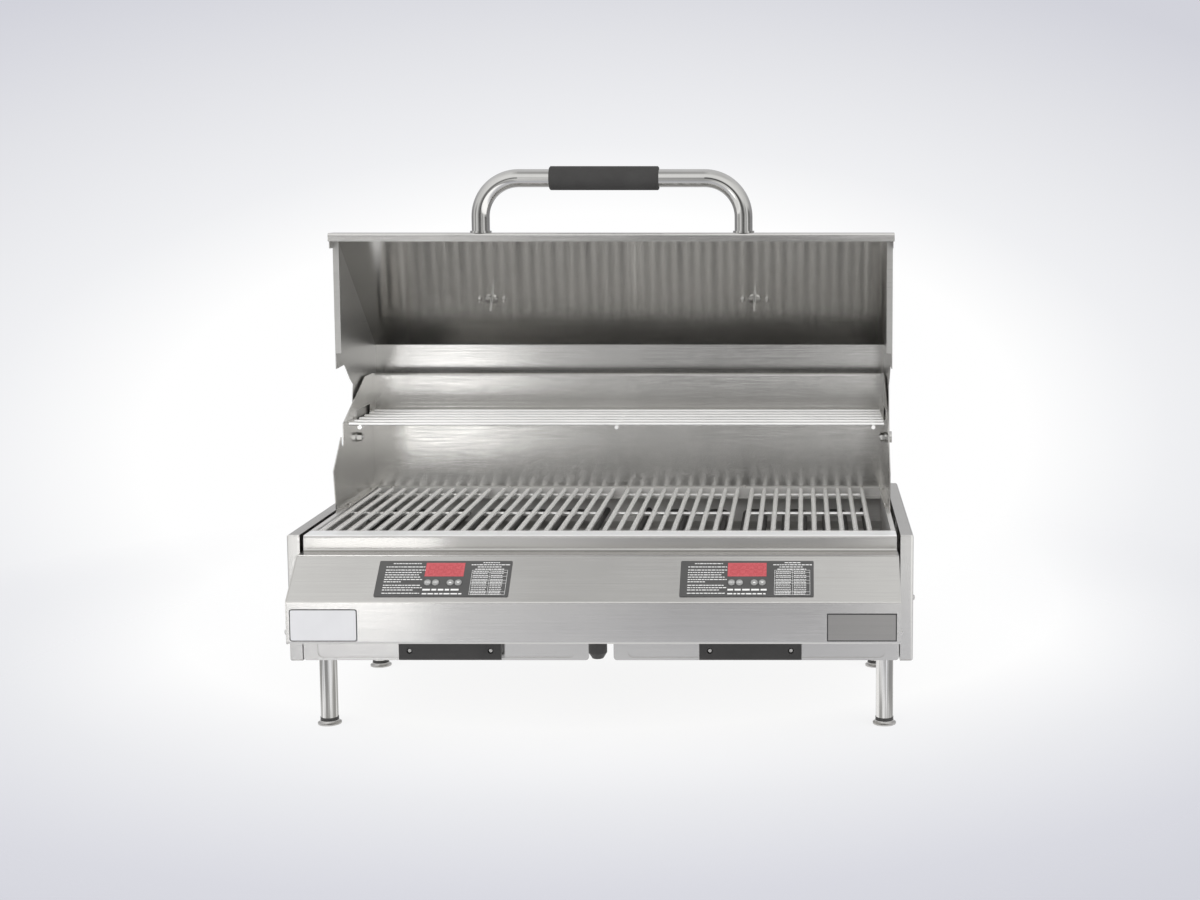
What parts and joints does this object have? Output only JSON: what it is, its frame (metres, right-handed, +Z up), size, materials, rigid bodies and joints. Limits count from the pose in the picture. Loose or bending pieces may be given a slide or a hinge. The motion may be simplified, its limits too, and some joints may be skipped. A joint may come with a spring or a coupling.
{
  "type": "electric table grill",
  "caption": "Wide stainless electric table grill on short legs, with a hinged lid standing open, rod grates over heating tubes, a warming rack, twin control panels and slide-out drip trays.",
  "frame": {"origin": "on the floor, under the middle of the grill's box with the lid open", "axes": "+X to the right of a person facing the controls, +Y to the back, +Z up"},
  "size_m": [0.889, 0.5376, 0.8145],
  "materials": {
    "brushed_sheet": "brushed stainless sheet",
    "dull_sheet": "plain mill sheet",
    "bright_rod": "bright drawn stainless rod",
    "polished_tube": "polished stainless",
    "element_sheath": "dark oxidised sheath",
    "panel_charcoal": "matte charcoal overlay",
    "display_red": "red tinted window",
    "key_grey": "grey moulded key",
    "board_green": "green circuit board",
    "black_plastic": "black moulded plastic",
    "grip_foam": "matte black foam sleeve",
    "gauge_glass": "clear flat glass",
    "pointer_red": "red enamel needle"
  },
  "bodies": {
    "body": {"left_side_panel": "brushed_sheet", "right_side_panel": "brushed_sheet", "front_rail": "brushed_sheet", "rear_wall": "brushed_sheet", "left_fixed_wall": "brushed_sheet", "right_fixed_wall": "brushed_sheet", "rear_panel": "brushed_sheet", "control_box": "brushed_sheet", "firebox": "dull_sheet", "left_leg_plate": "dull_sheet", "right_leg_plate": "dull_sheet", "tray_runners": "dull_sheet", "element_rests": "dull_sheet", "front_left_leg": "polished_tube", "front_right_leg": "polished_tube", "rear_left_leg": "polished_tube", "rear_right_leg": "polished_tube", "hinge_bolts": "polished_tube", "left_element": "element_sheath", "right_element": "element_sheath", "left_control_panel": "panel_charcoal", "right_control_panel": "panel_charcoal", "left_display": "display_red", "right_display": "display_red", "left_control_board": "board_green", "right_control_board": "board_green", "cord_gland": "black_plastic", "leg_bushes": "black_plastic", "power_unit": "black_plastic"},
    "lid": {"lid_hood": "brushed_sheet", "lid_left_side": "brushed_sheet", "lid_right_side": "brushed_sheet", "handle_tube": "polished_tube", "handle_grip": "grip_foam", "handle_collars": "polished_tube", "lid_gauges": "polished_tube", "gauge_glasses": "gauge_glass"},
    "left_pointer": {"left_pointer": "pointer_red"},
    "right_pointer": {"right_pointer": "pointer_red"},
    "left_tray": {"left_drip_tray": "brushed_sheet", "left_tray_handle": "black_plastic"},
    "right_tray": {"right_drip_tray": "brushed_sheet", "right_tray_handle": "black_plastic"},
    "rack": {"warming_rack": "bright_rod"},
    "grate_1": {"grate_1": "bright_rod"},
    "grate_2": {"grate_2": "bright_rod"},
    "grate_3": {"grate_3": "bright_rod"},
    "grate_4": {"grate_4": "bright_rod"},
    "left_on_button": {"left_on_button": "key_grey"},
    "left_off_button": {"left_off_button": "key_grey"},
    "left_up_button": {"left_up_button": "key_grey"},
    "left_down_button": {"left_down_button": "key_grey"},
    "right_on_button": {"right_on_button": "key_grey"},
    "right_off_button": {"right_off_button": "key_grey"},
    "right_up_button": {"right_up_button": "key_grey"},
    "right_down_button": {"right_down_button": "key_grey"},
    "front_left_foot": {"front_left_foot": "polished_tube"},
    "front_right_foot": {"front_right_foot": "polished_tube"},
    "rear_left_foot": {"rear_left_foot": "polished_tube"},
    "rear_right_foot": {"rear_right_foot": "polished_tube"}
  },
  "joints": [
    {"name": "lid_hinge", "type": "hinge", "parent": "body", "child": "lid", "pos_m": [0, 0.1208, 0.3895], "axis": [1, 0, 0], "range_deg": [0, 90]},
    {"name": "left_pointer_turn", "type": "hinge", "parent": "lid", "child": "left_pointer", "pos_m": [-0.21, 0.16881, 0.60617], "axis": [0, -0.6372, -0.7707], "range_deg": [0, 270], "stiffness_Nm_per_rad": 0.001},
    {"name": "right_pointer_turn", "type": "hinge", "parent": "lid", "child": "right_pointer", "pos_m": [0.21, 0.16881, 0.60617], "axis": [0, -0.6372, -0.7707], "range_deg": [0, 270], "stiffness_Nm_per_rad": 0.001},
    {"name": "left_tray_slide", "type": "slide", "parent": "body", "child": "left_tray", "axis": [0, -1, 0], "range_m": [0, 0.3]},
    {"name": "right_tray_slide", "type": "slide", "parent": "body", "child": "right_tray", "axis": [0, -1, 0], "range_m": [0, 0.3]},
    {"name": "grate_1_lift", "type": "slide", "parent": "body", "child": "grate_1", "axis": [0, 0, -1], "range_m": [-0.09, 0]},
    {"name": "grate_2_lift", "type": "slide", "parent": "body", "child": "grate_2", "axis": [0, 0, -1], "range_m": [-0.09, 0]},
    {"name": "grate_3_lift", "type": "slide", "parent": "body", "child": "grate_3", "axis": [0, 0, -1], "range_m": [-0.09, 0]},
    {"name": "grate_4_lift", "type": "slide", "parent": "body", "child": "grate_4", "axis": [0, 0, -1], "range_m": [-0.09, 0]},
    {"name": "rack_lift", "type": "slide", "parent": "body", "child": "rack", "axis": [0, 0, -1], "range_m": [-0.1, 0]},
    {"name": "left_on_button_press", "type": "slide", "parent": "body", "child": "left_on_button", "axis": [0, 0.664, -0.7478], "range_m": [0, 0.0008], "stiffness_N_per_m": 600, "springref_m": -0.001},
    {"name": "left_off_button_press", "type": "slide", "parent": "body", "child": "left_off_button", "axis": [0, 0.664, -0.7478], "range_m": [0, 0.0008], "stiffness_N_per_m": 600, "springref_m": -0.001},
    {"name": "left_up_button_press", "type": "slide", "parent": "body", "child": "left_up_button", "axis": [0, 0.664, -0.7478], "range_m": [0, 0.0008], "stiffness_N_per_m": 600, "springref_m": -0.001},
    {"name": "left_down_button_press", "type": "slide", "parent": "body", "child": "left_down_button", "axis": [0, 0.664, -0.7478], "range_m": [0, 0.0008], "stiffness_N_per_m": 600, "springref_m": -0.001},
    {"name": "right_on_button_press", "type": "slide", "parent": "body", "child": "right_on_button", "axis": [0, 0.664, -0.7478], "range_m": [0, 0.0008], "stiffness_N_per_m": 600, "springref_m": -0.001},
    {"name": "right_off_button_press", "type": "slide", "parent": "body", "child": "right_off_button", "axis": [0, 0.664, -0.7478], "range_m": [0, 0.0008], "stiffness_N_per_m": 600, "springref_m": -0.001},
    {"name": "right_up_button_press", "type": "slide", "parent": "body", "child": "right_up_button", "axis": [0, 0.664, -0.7478], "range_m": [0, 0.0008], "stiffness_N_per_m": 600, "springref_m": -0.001},
    {"name": "right_down_button_press", "type": "slide", "parent": "body", "child": "right_down_button", "axis": [0, 0.664, -0.7478], "range_m": [0, 0.0008], "stiffness_N_per_m": 600, "springref_m": -0.001},
    {"name": "front_left_foot_turn", "type": "hinge", "parent": "body", "child": "front_left_foot", "pos_m": [-0.407, -0.1172, 0.006], "axis": [0, 0, 1], "continuous": true},
    {"name": "front_right_foot_turn", "type": "hinge", "parent": "body", "child": "front_right_foot", "pos_m": [0.407, -0.1172, 0.006], "axis": [0, 0, 1], "continuous": true},
    {"name": "rear_left_foot_turn", "type": "hinge", "parent": "body", "child": "rear_left_foot", "pos_m": [-0.407, 0.1928, 0.006], "axis": [0, 0, 1], "continuous": true},
    {"name": "rear_right_foot_turn", "type": "hinge", "parent": "body", "child": "rear_right_foot", "pos_m": [0.407, 0.1928, 0.006], "axis": [0, 0, 1], "continuous": true}
  ]
}
